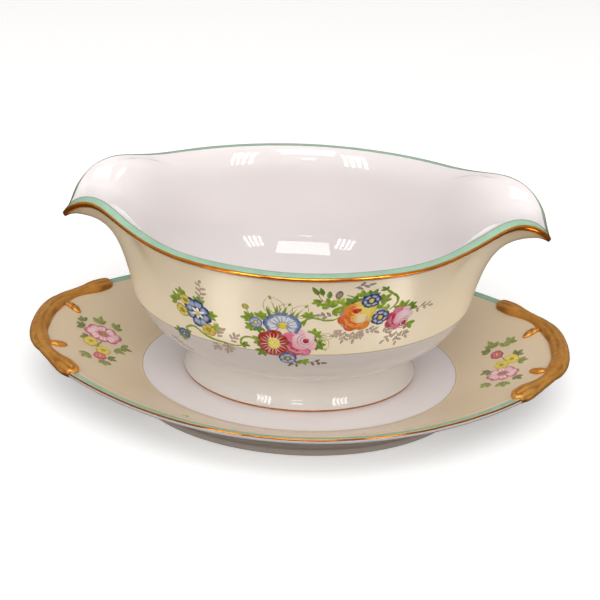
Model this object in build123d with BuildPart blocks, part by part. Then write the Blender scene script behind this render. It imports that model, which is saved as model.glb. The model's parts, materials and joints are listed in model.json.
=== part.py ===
"""Porcelain gravy boat with a spout at each end, standing loose on its oval underplate.

All lengths are in millimetres. +Z is up and +X runs from spout to spout. The origin lies at the
middle of the underplate's foot ring, on the table.
"""
import os

import numpy as np
from build123d import *

os.makedirs("parts", exist_ok=True)

# ---- Driving dimensions -------------------------------------------------------------------------

# Underplate
PLATE_L, PLATE_W = 232.0, 147.8        # over the porcelain; the moulded handles make it 235 long
PLATE_PINCH = 0.037                    # how far the outline is drawn in at its four corners
EDGE_Z, EDGE_LIFT = 23.0, 2.8          # height of the edge at the sides, and its rise to the ends
EDGE_T = 3.0                           # thickness of the edge
WELL_A, WELL_B, WELL_Z = 69.8, 49.9, 9.4     # half axes and height of the flat well
WELL_T = 4.2                           # thickness of the well's floor
RING_A, RING_B, RING_T = 72.5, 52.5, 4.0     # foot ring: half axes of its outside, and its breadth

# Boat: half axes and height of level sections below its widest line
NECK = (48.0, 33.5, 23.5)
LOWER = (57.5, 42.5, 30.5)
MIDDLE = (66.8, 50.6, 40.0)
BELLY = (72.2, 55.6, 50.4)
WALL = 3.0
FLOOR_T = 3.6

# Rim, a quarter of it: angle round the belly in degrees, then x, y and height
RIM = [
    (0.0, 100.8, 0.0, 84.8),           # tip of the spout
    (9.5, 100.5, 8.0, 86.0),
    (16.5, 98.5, 14.8, 89.6),
    (21.5, 93.2, 19.3, 94.0),
    (26.0, 86.5, 22.8, 96.2),          # crest of the spout's cheek
    (31.5, 79.5, 27.2, 95.6),
    (39.5, 70.0, 35.0, 92.9),
    (53.5, 53.0, 49.0, 90.2),
    (70.5, 30.0, 59.2, 89.3),
    (90.0, 0.0, 63.7, 89.0),           # middle of the side
]
SPOUT_SPREAD = 40.0                    # degrees of the belly that turn out into a spout
LIP_W = 3.2                            # flat top of the lip
LIP_H, SPOUT_LIP_H = 2.0, 2.8          # height of the lip's rolled outer edge, along sides and spouts

# Foot of the boat
FOOT_A, FOOT_B = 51.4, 36.8
FOOT_T = 4.6

# Moulded branch handles on the underplate's ends, one arm of a mirrored pair:
# x, y, breadth and thickness along the branch, from the middle of the end to the knob
BRANCH = [
    (113.3, 0.0, 8.2, 5.8),
    (112.3, 9.0, 8.2, 5.8),
    (109.6, 16.6, 8.0, 5.6),
    (105.6, 23.2, 6.0, 5.0),
    (101.2, 28.2, 6.0, 5.0),
    (96.9, 32.6, 8.0, 5.6),
    (93.6, 35.6, 8.8, 5.8),
    (91.0, 37.8, 6.4, 4.4),
    (89.9, 38.7, 2.4, 2.0),
]
BUD = [
    (109.0, 16.6, 3.0, 3.0),
    (105.6, 17.4, 3.2, 3.2),
    (102.2, 15.6, 4.2, 3.8),
    (99.2, 13.2, 4.0, 3.4),
    (97.4, 11.9, 1.6, 1.6),
]

POINTS = 40                            # points round each ring of the lofted walls
TURN = [2 * np.pi * (i / POINTS + 0.25) for i in range(POINTS)]


# ---- Curves -------------------------------------------------------------------------------------

def cubic(xs, ys, at):
    """Natural cubic curve through (xs, ys), read at `at`."""
    xs, ys = np.array(xs, float), np.array(ys, float)
    h, n = np.diff(xs), len(xs)
    rows, rhs = np.eye(n), np.zeros(n)
    for i in range(1, n - 1):
        rows[i, i - 1:i + 2] = h[i - 1], 2 * (h[i - 1] + h[i]), h[i]
        rhs[i] = 6 * ((ys[i + 1] - ys[i]) / h[i] - (ys[i] - ys[i - 1]) / h[i - 1])
    m = np.linalg.solve(rows, rhs)
    i = int(np.clip(np.searchsorted(xs, at) - 1, 0, n - 2))
    a, b = (xs[i + 1] - at) / h[i], (at - xs[i]) / h[i]
    return a * ys[i] + b * ys[i + 1] + ((a**3 - a) * m[i] + (b**3 - b) * m[i + 1]) * h[i]**2 / 6


def rim_point(t):
    """Outer top edge of the lip at belly angle t, from the quarter of points in RIM."""
    quarter = np.array(RIM)
    angle = abs((np.degrees(t) + 180) % 360 - 180)
    side = 1 if (np.degrees(t) + 180) % 360 >= 180 else -1
    back = quarter[::-1][1:]
    full = np.concatenate([-quarter[::-1, 0][:-1], quarter[:, 0], 180 - back[:, 0],
                           180 + quarter[1:, 0]])
    x, y, z = quarter[:, 1], quarter[:, 2], quarter[:, 3]
    xs = np.concatenate([x[::-1][:-1], x, -back[:, 1], -x[1:]])
    ys = np.concatenate([-y[::-1][:-1], y, back[:, 2], -y[1:]])
    zs = np.concatenate([z[::-1][:-1], z, back[:, 3], z[1:]])
    return np.array([cubic(full, xs, angle), side * cubic(full, ys, angle), cubic(full, zs, angle)])


def wall_point(t, v):
    """Outside of the boat. v runs from -1 at the neck, over 0 at the widest line, to 1 at the rim."""
    turn = np.array([np.cos(t), np.sin(t), 0])
    if v < 0:
        rings = np.array([NECK, LOWER, MIDDLE, BELLY])
        z = BELLY[2] + v * (BELLY[2] - NECK[2])
        a, b = cubic(rings[:, 2], rings[:, 0], z), cubic(rings[:, 2], rings[:, 1], z)
        return np.array([a, b, 0]) * turn + [0, 0, z]
    low = np.array([BELLY[0], BELLY[1], 0]) * turn + [0, 0, BELLY[2]]
    out = np.array([turn[0] / BELLY[0], turn[1] / BELLY[1], 0])
    out /= np.linalg.norm(out)
    along = np.array([np.sign(turn[0]), 0, 0])
    away = abs((np.degrees(t) + 90) % 180 - 90)
    spout = np.exp(-(away / SPOUT_SPREAD)**4)
    lip_h = LIP_H + (SPOUT_LIP_H - LIP_H) * spout
    top = rim_point(t) * [0.996, 0.993, 1] - [0, 0, lip_h]
    rise = top[2] - low[2]
    start = out * (9 + 7 * spout) + [0, 0, rise * (1 + 1.4 * spout)]
    end = out * 10 * (1 - spout) + along * 62 * spout + [0, 0, rise * (0.75 - 0.8 * spout)]
    return ((2 * v**3 - 3 * v**2 + 1) * low + (v**3 - 2 * v**2 + v) * start
            + (3 * v**2 - 2 * v**3) * top + (v**3 - v**2) * end)


def frame_at(t, v):
    """Point on the outside, the way up the wall, and the way in through it."""
    here = wall_point(t, v)
    up = wall_point(t, min(v + 0.02, 1)) - wall_point(t, max(v - 0.02, -1))
    round_ = wall_point(t + 0.02, v) - wall_point(t - 0.02, v)
    up /= np.linalg.norm(up)
    inward = np.cross(up, round_)
    inward /= np.linalg.norm(inward)
    if inward @ np.array([here[0], here[1], -60.0]) > 0:
        inward = -inward
    return here, up, inward


def edge_point(t):
    """Outer edge of the underplate at angle t."""
    pinch = 1 - PLATE_PINCH * np.sin(2 * t)**2
    return np.array([PLATE_L / 2 * pinch * np.cos(t), PLATE_W / 2 * pinch * np.sin(t),
                     EDGE_Z + EDGE_LIFT * np.cos(t)**2])


def slope_point(t, s):
    """Top face of the underplate, from the edge of the well (s = 0) to the edge (s = 1)."""
    well = np.array([WELL_A * np.cos(t), WELL_B * np.sin(t), WELL_Z])
    edge = edge_point(t)
    point = well + s * (edge - well)
    point[2] = WELL_Z + (edge[2] - WELL_Z) * (1.15 * s - 0.15 * s**3)
    return point


def ring(points):
    """Closed smooth line through one point at each of the TURN angles."""
    with BuildLine() as line:
        add(Edge.make_spline([Vector(*p) for p in points], periodic=True,
                             parameters=[i / POINTS for i in range(POINTS + 1)]))
    return line.wire()


def oval(a, b, z):
    return ring([(a * np.cos(t), b * np.sin(t), z) for t in TURN])


def lofted(rings, band=3):
    """Closed solid skinned over the rings, a few at a time, with its first and last ring filled."""
    faces = [Face(rings[0]), Face(rings[-1])]
    for i in range(0, len(rings) - 1, band - 1):
        faces += Shell.make_loft(rings[i:i + band]).faces()
    return Solid(Shell(faces))


# ---- Boat ---------------------------------------------------------------------------------------

# Outside from the neck up, over the rolled edge and flat top of the lip, and down the inside.
bowl_rings = [ring([wall_point(t, v) for t in TURN])
              for v in (-1, -0.74, -0.5, -0.25, 0, 0.2, 0.4, 0.6, 0.8, 0.92, 1)]

lip = {name: [] for name in ("roll", "outer", "crown", "inner")}
for t in TURN:
    edge, along = rim_point(t), rim_point(t + 0.01) - rim_point(t - 0.01)
    across = np.cross([0, 0, 1], along)
    across /= np.linalg.norm(across)
    lip["roll"].append(edge - [0, 0, 0.5 * (edge[2] - wall_point(t, 1)[2])] - across * 0.25)
    lip["outer"].append(edge)
    lip["crown"].append(edge + across * LIP_W * 0.5 + [0, 0, 0.45])
    lip["inner"].append(edge + across * LIP_W + [0, 0, 0.2])
bowl_rings += [ring(points) for points in lip.values()]

for v in (0.9, 0.78, 0.6, 0.4, 0.2, 0, -0.25, -0.5, -0.7):
    inside = []
    for t in TURN:
        here, up, inward = frame_at(t, v)
        inside.append(here + inward * WALL)
    bowl_rings.append(ring(inside))
floor_z = NECK[2] + FLOOR_T
bowl_rings += [oval(43.0, 29.0, floor_z + 1.1), oval(30.0, 20.0, floor_z)]

with BuildPart() as boat_bowl:
    add(lofted(bowl_rings))
boat_bowl.part.label = "boat_bowl"

# Hollow oval foot, flared to its standing edge.
foot_profile = [(WELL_Z, 0.0), (WELL_Z + 1.6, -0.1), (14.5, -1.9), (19.0, -3.3), (NECK[2], -3.4)]
with BuildPart() as boat_foot:
    for inset, mode in ((0, Mode.ADD), (FOOT_T, Mode.SUBTRACT)):
        for z, flare in foot_profile:
            with BuildSketch(Plane.XY.offset(z)):
                Ellipse(FOOT_A + flare - inset, FOOT_B + flare - inset)
        loft(mode=mode)
boat_foot.part.label = "boat_foot"

# ---- Underplate ---------------------------------------------------------------------------------

# Underside from the recess inside the foot ring out to the ring's foot: inset and height.
under_z = WELL_Z - WELL_T
foot_ring = [(32, under_z), (20, under_z), (11.5, under_z), (8, under_z - 0.1), (6.0, under_z - 0.9),
             (RING_T + 0.6, 2.0), (RING_T, 0.5), (RING_T - 0.8, -0.6), (1.0, -0.6), (0.3, 0.2), (0, 1.4)]
plate_rings = [oval(RING_A - inset, RING_B - inset, z) for inset, z in foot_ring]


def below(t, s, drop):
    """Underside of the sloping part, s of the way from the foot ring to the edge."""
    start = np.array([(RING_A + 1.5) * np.cos(t), (RING_B + 1.5) * np.sin(t), under_z])
    end = edge_point(t) * [0.985, 0.985, 1] - [0, 0, drop]
    point = start + s * (end - start)
    point[2] = start[2] + (end[2] - start[2]) * (1.1 * s - 0.1 * s**3)
    return point


plate_rings += [ring([below(t, s, EDGE_T) for t in TURN]) for s in (0.0, 0.35, 0.7, 0.97)]
plate_rings += [
    ring([edge_point(t) * [0.999, 0.999, 1] - [0, 0, 0.75 * EDGE_T] for t in TURN]),
    ring([edge_point(t) - [0, 0, 0.35 * EDGE_T] for t in TURN]),
    ring([edge_point(t) * [0.994, 0.994, 1] for t in TURN]),
]
plate_rings += [ring([slope_point(t, s) for t in TURN]) for s in (0.93, 0.75, 0.5, 0.25, 0.06)]
plate_rings += [oval(WELL_A - 2.5, WELL_B - 2.5, WELL_Z), oval(56, 41, WELL_Z)]

# The foot ring is ground flat at table level.
with BuildPart() as underplate:
    add(lofted(plate_rings))
    split(bisect_by=Plane.XY, keep=Keep.TOP)
underplate.part.label = "underplate"


def plate_height(x, y):
    """Height of the plate's sloping top face at (x, y)."""
    t = np.arctan2(y * PLATE_L, x * PLATE_W)
    reach = np.linalg.norm(edge_point(t)[:2])
    well = np.hypot(WELL_A * np.cos(t), WELL_B * np.sin(t))
    return slope_point(t, (np.hypot(x, y) - well) / (reach - well))[2]


def strand(stations):
    """Rounded branch lofted through level-lying oval sections along its line."""
    line = [np.array([x, y, plate_height(x, y) + 0.2]) for x, y, _, _ in stations]
    sections = []
    for i, (_, _, breadth, thick) in enumerate(stations):
        way = line[min(i + 1, len(line) - 1)] - line[max(i - 1, 0)]
        side = np.cross([0, 0, 1], way)
        with BuildSketch(Plane(tuple(line[i]), x_dir=tuple(side), z_dir=tuple(way))) as section:
            Ellipse(breadth / 2, thick / 2)
        sections.append(section.sketch)
    loft(sections)


def flipped(stations):
    return [(x, -y, breadth, thick) for x, y, breadth, thick in stations]


with BuildPart() as underplate_handle_right:
    strand(flipped(BRANCH)[:0:-1] + BRANCH)
    strand(BUD)
    strand(flipped(BUD))
underplate_handle_right.part.label = "underplate_handle_right"

with BuildPart() as underplate_handle_left:
    add(underplate_handle_right.part)
    mirror(about=Plane.YZ, mode=Mode.REPLACE)
underplate_handle_left.part.label = "underplate_handle_left"

# ---- Files --------------------------------------------------------------------------------------

export_step(boat_bowl.part, "parts/boat_bowl.step")
export_step(boat_foot.part, "parts/boat_foot.step")
export_step(underplate.part, "parts/underplate.step")
export_step(underplate_handle_left.part, "parts/underplate_handle_left.step")
export_step(underplate_handle_right.part, "parts/underplate_handle_right.step")
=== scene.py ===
"""Looks for the porcelain gravy boat and its underplate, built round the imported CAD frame."""
import json
import math

import bpy
import numpy as np
from mathutils import Matrix, Vector, noise

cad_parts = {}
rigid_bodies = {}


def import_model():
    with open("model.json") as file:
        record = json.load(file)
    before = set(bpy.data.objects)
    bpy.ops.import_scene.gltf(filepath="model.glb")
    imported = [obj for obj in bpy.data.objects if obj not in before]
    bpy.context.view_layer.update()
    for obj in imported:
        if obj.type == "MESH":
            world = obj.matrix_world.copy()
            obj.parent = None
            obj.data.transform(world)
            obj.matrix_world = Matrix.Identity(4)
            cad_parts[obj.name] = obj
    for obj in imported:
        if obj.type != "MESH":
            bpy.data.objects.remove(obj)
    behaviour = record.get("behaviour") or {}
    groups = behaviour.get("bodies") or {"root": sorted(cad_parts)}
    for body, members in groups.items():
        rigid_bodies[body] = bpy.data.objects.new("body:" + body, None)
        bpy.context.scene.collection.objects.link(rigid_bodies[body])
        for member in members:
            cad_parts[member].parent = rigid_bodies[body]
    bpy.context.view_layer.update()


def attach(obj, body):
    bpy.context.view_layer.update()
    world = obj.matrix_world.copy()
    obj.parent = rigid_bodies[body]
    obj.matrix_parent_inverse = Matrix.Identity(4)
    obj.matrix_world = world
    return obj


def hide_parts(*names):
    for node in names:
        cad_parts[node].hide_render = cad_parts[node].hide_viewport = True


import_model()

MM = 0.001

# ---- Shape of the ware, in millimetres ------------------------------------------------------------

NECK, BELLY = (48.0, 33.5, 23.5), (72.2, 55.6, 50.4)
SECTIONS = [NECK, (57.5, 42.5, 30.5), (66.8, 50.6, 40.0), BELLY]      # half axes and height
RIM = [(0, 100.8, 0, 84.8), (9.5, 100.5, 8, 86), (16.5, 98.5, 14.8, 89.6), (21.5, 93.2, 19.3, 94),
       (26, 86.5, 22.8, 96.2), (31.5, 79.5, 27.2, 95.6), (39.5, 70, 35, 92.9), (53.5, 53, 49, 90.2),
       (70.5, 30, 59.2, 89.3), (90, 0, 63.7, 89)]                      # belly angle, x, y, height
WALL, LIP_W, LIP_H, SPOUT_LIP_H, FLOOR_T = 3.0, 3.2, 2.0, 2.8, 3.6
FOOT_A, FOOT_B, FOOT_T = 51.4, 36.8, 4.6
WELL = (69.8, 49.9, 9.4)
PLATE_L, PLATE_W, PINCH, EDGE_Z, EDGE_LIFT = 232.0, 147.8, 0.037, 23.0, 2.8
RING_A, RING_B, WELL_T = 75.5, 54.5, 4.2
LEFT_LONG, LEFT_SHORT = 1.2, 1.7      # the stand's left end is pulled out, the left spout is shorter
FLARE = 0.8                           # share of the wall where its inside starts to roll outwards
BELLY_THROW, RIM_THROW, SPOUT_THROW = 9.0, 10.0, 62.0      # how far the wall sweeps at its two ends
LEAN_SIDE, LEAN_SPOUT, LEAN_NOSE = 5, 14, 38               # degrees the lip leans out, added up
AROUND = 480                          # columns in every ring


def cubic(xs, ys, at):
    """Natural cubic curve through (xs, ys), read at every value of `at`."""
    xs, ys, at = np.array(xs, float), np.array(ys, float), np.asarray(at, float)
    h, n = np.diff(xs), len(xs)
    rows, rhs = np.eye(n), np.zeros(n)
    for i in range(1, n - 1):
        rows[i, i - 1:i + 2] = h[i - 1], 2 * (h[i - 1] + h[i]), h[i]
        rhs[i] = 6 * ((ys[i + 1] - ys[i]) / h[i] - (ys[i] - ys[i - 1]) / h[i - 1])
    m = np.linalg.solve(rows, rhs)
    i = np.clip(np.searchsorted(xs, at) - 1, 0, n - 2)
    a, b = (xs[i + 1] - at) / h[i], (at - xs[i]) / h[i]
    return a * ys[i] + b * ys[i + 1] + ((a**3 - a) * m[i] + (b**3 - b) * m[i + 1]) * h[i]**2 / 6


def unit(v):
    return v / np.linalg.norm(v, axis=-1, keepdims=True)


def arc_length(points):
    """Distance along a polyline, from 0 at its first point."""
    return np.concatenate([[0], np.cumsum(np.linalg.norm(np.diff(points, axis=0), axis=1))])


def bezier(a, b, c, d, f):
    return a * (1 - f)**3 + 3 * b * f * (1 - f)**2 + 3 * c * f * f * (1 - f) + d * f**3


def rim(t):
    """Outer top edge of the lip at belly angle t."""
    q = np.array(RIM, float)
    deg = (np.degrees(t) + 180) % 360 - 180
    back = q[::-1][1:]
    a = np.concatenate([-q[::-1, 0][:-1], q[:, 0], 180 - back[:, 0], 180 + q[1:, 0]])
    x = np.concatenate([q[::-1, 1][:-1], q[:, 1], -back[:, 1], -q[1:, 1]])
    y = np.concatenate([-q[::-1, 2][:-1], q[:, 2], back[:, 2], -q[1:, 2]])
    z = np.concatenate([q[::-1, 3][:-1], q[:, 3], back[:, 3], q[1:, 3]])
    at = np.abs(deg)
    return np.stack([cubic(a, x, at), np.sign(deg + 1e-12) * cubic(a, y, at), cubic(a, z, at)], -1)


def spoutness(t):
    """1 in the middle of a spout, fading to 0 along the sides."""
    return np.exp(-(np.abs((np.degrees(t) + 90) % 180 - 90) / 40.0)**4)


def wall(t, v):
    """Outside of the boat at belly angle t; v is -1 at the neck, 0 at the widest line, 1 under the lip."""
    t, v = np.broadcast_arrays(np.asarray(t, float), np.asarray(v, float))
    turn = np.stack([np.cos(t), np.sin(t), 0 * t], -1)
    s = np.array(SECTIONS)
    z = BELLY[2] + np.minimum(v, 0) * (BELLY[2] - NECK[2])
    lower = turn * np.stack([cubic(s[:, 2], s[:, 0], z), cubic(s[:, 2], s[:, 1], z), 0 * z], -1)
    lower[..., 2] = z
    low = turn * [BELLY[0], BELLY[1], 0] + [0, 0, BELLY[2]]
    out = unit(turn / [BELLY[0], BELLY[1], 1])
    along = np.stack([np.sign(turn[..., 0]), 0 * t, 0 * t], -1)
    spout = spoutness(t)
    top = rim(t) * [0.996, 0.993, 1]
    top[..., 2] -= LIP_H + (SPOUT_LIP_H - LIP_H) * spout
    rise = top[..., 2] - low[..., 2]
    up = np.stack([0 * t, 0 * t, 1 + 0 * t], -1)
    w = np.maximum(v, 0)[..., None]
    spout, rise = spout[..., None], rise[..., None]
    start = out * (BELLY_THROW + 7 * spout) + up * rise * (1 + 1.4 * spout)
    end = out * RIM_THROW * (1 - spout) + along * SPOUT_THROW * spout + up * rise * (0.75 - 0.8 * spout)
    upper = ((2 * w**3 - 3 * w**2 + 1) * low + (w**3 - 2 * w**2 + w) * start
             + (3 * w**2 - 2 * w**3) * top + (w**3 - w**2) * end)
    return np.where((v < 0)[..., None], lower, upper)


def plate_edge(t):
    """Outer edge of the underplate at angle t."""
    pinch = 1 - PINCH * np.sin(2 * t)**2
    return np.stack([PLATE_L / 2 * pinch * np.cos(t), PLATE_W / 2 * pinch * np.sin(t),
                     EDGE_Z + EDGE_LIFT * np.cos(t)**2], -1)


def slope(t, s):
    """Top of the underplate between the well's edge (s = 0) and the outer edge (s = 1)."""
    t, s = np.broadcast_arrays(np.asarray(t, float), np.asarray(s, float))
    well = np.stack([WELL[0] * np.cos(t), WELL[1] * np.sin(t), WELL[2] + 0 * t], -1)
    out = plate_edge(t)
    p = well + s[..., None] * (out - well)
    p[..., 2] = WELL[2] + (out[..., 2] - WELL[2]) * (1.15 * s - 0.15 * s**3)
    return p


def normals(fn, t, v, flip=1.0):
    """Unit normals of a surface fn(t, v)."""
    e = 1e-3
    du = fn(t + e, v) - fn(t - e, v)
    dv = fn(t, np.minimum(v + e, 1)) - fn(t, np.maximum(v - e, -1))
    n = np.cross(du, dv) * flip
    return n / np.maximum(np.linalg.norm(n, axis=-1, keepdims=True), 1e-9)


# ---- Meshes ---------------------------------------------------------------------------------------

def object_from(name, verts, faces, layers=None, smooth=True):
    mesh = bpy.data.meshes.new(name)
    mesh.from_pydata([tuple(p) for p in np.asarray(verts, float) * MM], [], [tuple(f) for f in faces])
    for key, values in (layers or {}).items():
        values = np.asarray(values, np.float32)
        if values.ndim == 2:
            layer = mesh.color_attributes.new(key, "FLOAT_COLOR", "POINT")
            full = np.ones((len(values), 4), np.float32)
            full[:, :3] = values
            layer.data.foreach_set("color", full.ravel())
        else:
            mesh.attributes.new(key, "FLOAT", "POINT").data.foreach_set("value", values)
    if smooth:
        mesh.polygons.foreach_set("use_smooth", [True] * len(mesh.polygons))
    mesh.update()
    obj = bpy.data.objects.new(name, mesh)
    bpy.context.scene.collection.objects.link(obj)
    return obj


def rings_object(name, rings, layers, close=True):
    """Skin over closed rings, each an (AROUND, 3) array, with a point at the centre of each end."""
    rings = np.array(rings)
    count, around = rings.shape[:2]
    verts = rings.reshape(-1, 3)
    layers = {k: np.array(v).reshape(count * around) for k, v in layers.items()}
    faces = []
    for i in range(count - 1):
        a, b = i * around, (i + 1) * around
        faces += [(a + j, a + (j + 1) % around, b + (j + 1) % around, b + j) for j in range(around)]
    if close:
        for row, turned in ((0, True), (count - 1, False)):
            centre = rings[row].mean(0)
            verts = np.vstack([verts, centre])
            layers = {k: np.append(v, v[row * around]) for k, v in layers.items()}
            hub, a = len(verts) - 1, row * around
            for j in range(around):
                tri = (a + j, a + (j + 1) % around, hub)
                faces.append(tri[::-1] if turned else tri)
    return object_from(name, verts, faces, layers)


TURN = np.linspace(0, 2 * np.pi, AROUND, endpoint=False)


def oval(a, b, z):
    return np.stack([a * np.cos(TURN), b * np.sin(TURN), np.full(AROUND, float(z))], -1)


def ring_run(rings):
    """Distance from the first ring to every point, down its own column."""
    step = np.linalg.norm(np.diff(rings, axis=0), axis=-1)
    return np.concatenate([np.zeros((1, AROUND)), np.cumsum(step, axis=0)])


def shift_left_end(rings, start, length, by):
    """Moves the left end along x, easing in over `length` mm from x = -start."""
    pull = np.clip((-rings[..., 0] - start) / length, 0, 1)
    rings[..., 0] += by * pull**2 * (3 - 2 * pull)


def boat_bowl():
    """The bowl from its underside up the outside, over the lip and down to the inside floor."""
    full = np.full(AROUND, 1.0)
    edge = rim(TURN)
    along = rim(TURN + 0.01) - rim(TURN - 0.01)
    across = unit(np.cross([0, 0, 1], along))
    top = wall(TURN, 1.0)
    up = np.array([0, 0, 1.0])
    # The lip leans outwards: a little along the sides, far more over the spouts.
    spout = spoutness(TURN)[:, None]
    away = np.abs((np.degrees(TURN) + 90) % 180 - 90)
    nose = np.exp(-(away / 20.0)**4)[:, None]                   # the very end of a spout
    lean = np.radians(LEAN_SIDE + LEAN_SPOUT * spout + LEAN_NOSE * nose)
    width = LIP_W * (1 - 0.38 * nose)
    rise = width * np.tan(lean)
    drop = 0.85 * rise - 0.2
    edge = edge - up * drop
    top = top - up * 0.8 * drop

    levels = np.linspace(-1, 0.9, 96)
    outside = [wall(TURN, v) for v in levels]
    above = [wall(TURN, v) for v in np.linspace(0.91, 1, 12)]
    outside += [p - up * 0.8 * drop * ((i + 1) / 12)**2 for i, p in enumerate(above)]
    # Rolled edge: a soft overhang below, a round shoulder, then the top of the lip.
    bulge, radius = 0.45, 0.85
    for f, out in ((0.1, 0.16), (0.22, 0.32), (0.36, 0.42), (0.5, 0.45)):
        outside.append(top + (edge - up * radius - top) * f * 2 - across * out)
    hub = edge + across * (radius - bulge) - up * radius
    arc = np.linspace(0, 1, 9)[1:]
    sweep = np.pi / 2 - lean
    rolled = [hub + radius * (up * np.sin(sweep * a) - across * np.cos(sweep * a)) for a in arc]
    outside += rolled[:4]
    count_out = len(outside)
    far = edge + across * width + up * rise
    lip = rolled[4:] + [rolled[-1] * (1 - w) + far * w + up * 0.12 * math.sin(math.pi * w)
                        for w in np.linspace(0, 1, 13)[1:]]
    # Inside: from the lip the surface rolls over and down in one soft flare, then follows the wall.
    inside = []
    for v in np.linspace(FLARE, 0.14, 62):
        n = normals(wall, TURN, v * full)
        n *= np.sign((n[:, :2] * edge[:, :2]).sum(-1) + 1e-9)[:, None]
        thick = WALL + 2.0 * np.exp(-((v - FLARE) / 0.27)**2) * (1 - 0.7 * spout)
        inside.append(wall(TURN, v) - n * thick)
    start, end = lip[-1], inside[0]
    reach = np.linalg.norm(start - end, axis=1)[:, None]
    roll = across * 0.8 - up * 0.6
    climb = unit(inside[0] - inside[1])
    pull, push = start + roll * reach * 0.36, end + climb * reach * (0.09 + 0.27 * spout)
    inside = [bezier(start, pull, push, end, f) for f in np.linspace(0, 1, 24)[1:-1]] + inside
    # Floor: the wall sweeps down in a full curve to a nearly flat middle.
    floor_z = NECK[2] + FLOOR_T
    last, way = inside[-1], unit(inside[-1] - inside[-2])
    flat = oval(9, 6, floor_z)
    span = np.linalg.norm((last - flat)[:, :2], axis=1)[:, None]
    outward = (last - flat) * [1, 1, 0] / span
    one, two = last + way * (last[:, 2:] - floor_z) * 0.74, flat + outward * span * 0.56
    bottom = [bezier(last, one, two, flat, f) for f in np.linspace(0, 1, 60)[1:]]
    under = [oval(NECK[0] * f, NECK[1] * f, NECK[2]) for f in (0.2, 0.6, 0.9)]
    rings = np.array(under + outside + lip + inside + bottom)
    shift_left_end(rings, 66, 34, LEFT_SHORT)

    run = ring_run(rings)
    at_edge = run[len(under) + count_out - 1]
    wall_run = run[len(under):len(under) + len(levels)]
    at_belly = np.array([np.interp(0, levels, column) for column in wall_run.T])
    lip_mm = run - at_edge                       # below 0 outside, above 0 on the lip and inside
    belly_mm = run - at_belly                    # height up the outside from the widest line
    tip = np.clip((27 - away) / 8, 0, 1)         # where the gilding is laid on double
    layers = {"lip_mm": lip_mm, "belly_mm": belly_mm, "tip": np.tile(tip, (len(rings), 1))}
    return rings_object("boat_bowl_glazed", rings, layers)


def boat_foot():
    """Flared hollow foot; its flare follows the CAD foot, with a rounded standing edge."""
    z0, z1 = WELL[2], NECK[2]
    profile = [(z1, -3.4 - FOOT_T), (z0 + 0.4, -FOOT_T), (z0 + 0.02, -FOOT_T + 0.6), (z0 + 0.02, -0.9),
               (z0 + 0.25, -0.35), (z0 + 0.8, -0.05)]
    flare = [(0.8, -0.05), (1.6, -0.12), (2.6, -0.55), (3.8, -1.15), (5.1, -1.9), (7, -2.65), (9.6, -3.3),
             (12, -3.5), (z1 - z0, -3.35)]
    zs = np.linspace(0.8, z1 - z0, 40)
    curve = cubic([p[0] for p in flare], [p[1] for p in flare], zs)
    profile += [(z0 + z, c) for z, c in zip(zs, curve)][1:]
    rings = np.array([oval(FOOT_A + c, FOOT_B + c, z) for z, c in profile])
    height = np.array([[z - z0] * AROUND for z, _ in profile])
    inside = np.array([[1.0 if i < 3 else 0.0] * AROUND for i in range(len(profile))])
    return rings_object("boat_foot_glazed", rings, {"foot_mm": height, "hidden": inside}, close=False)


def underplate():
    """The stand from the middle of the well, up the slope, over the edge and back under the foot ring."""
    up = np.array([0, 0, 1.0])
    well = [oval(WELL[0] * f, WELL[1] * f, WELL[2]) for f in (0.12, 0.4, 0.66, 0.76, 0.84, 0.9, 0.94, 0.97)]
    rows = list(well)
    for s in np.linspace(0.0, 0.965, 76):
        row = slope(TURN, s)
        short = np.linalg.norm((plate_edge(TURN) - row)[:, :2], axis=1)
        rows.append(row + up * (0.4 * np.exp(-((short - 4.6) / 3.4)**2))[:, None])     # the rim levels off
    # Soften the crease between well and slope.
    first = len(well)
    for i, dz in ((first - 1, 0.05), (first, 0.16), (first + 1, 0.12)):
        rows[i] = rows[i] + up * dz
    edge = plate_edge(TURN)
    inward = unit((slope(TURN, 0.965) - edge) * [1, 1, 0])
    across = [(1.15, 0.02), (0.8, 0.06), (0.5, 0.04), (0.25, -0.06), (0.08, -0.22), (0.0, -0.5), (0.0, -0.9),
              (0.06, -1.4), (0.2, -1.9), (0.5, -2.35), (0.95, -2.75), (1.6, -3.05), (2.6, -3.35)]
    top_count = len(rows)
    rows += [edge + inward * i + up * dz for i, dz in across]
    edge_row = top_count + 4
    start = oval(RING_A + 1.5, RING_B + 1.5, WELL[2] - WELL_T)
    end = rows[-1]
    for s in np.linspace(0.96, 0.0, 40):
        p = start + s * (end - start)
        p[:, 2] = start[:, 2] + (end[:, 2] - start[:, 2]) * (1.1 * s - 0.1 * s**3)
        rows.append(p)
    rows += [oval(RING_A + a, RING_B + a, z) for a, z in
             ((0.9, 4.5), (0.45, 3.6), (0.2, 2.6), (0.05, 1.6), (-0.1, 0.9), (-0.4, 0.35), (-1.0, 0.05),
              (-1.6, 0), (-2.6, 0), (-3.2, 0.05), (-3.8, 0.4), (-4.2, 1.0), (-4.6, 2.0), (-5.2, 3.2),
              (-6.0, 4.3), (-8, 5.1), (-12, 5.2), (-20, 5.2), (-32, 5.2), (-44, 5.2))]
    rings = np.array(rows)
    shift_left_end(rings, 70, 42, -LEFT_LONG)
    run = ring_run(rings)
    rim_mm = run[edge_row] - run                  # above 0 on top of the plate, below 0 outside
    well_mm = run - run[first]
    ring_low = np.clip(1 - rings[..., 2] / 1.2, 0, 1) * (run > run[edge_row])
    return rings_object("underplate_glazed", rings,
                        {"rim_mm": rim_mm, "well_mm": well_mm, "unglazed": ring_low})


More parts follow.
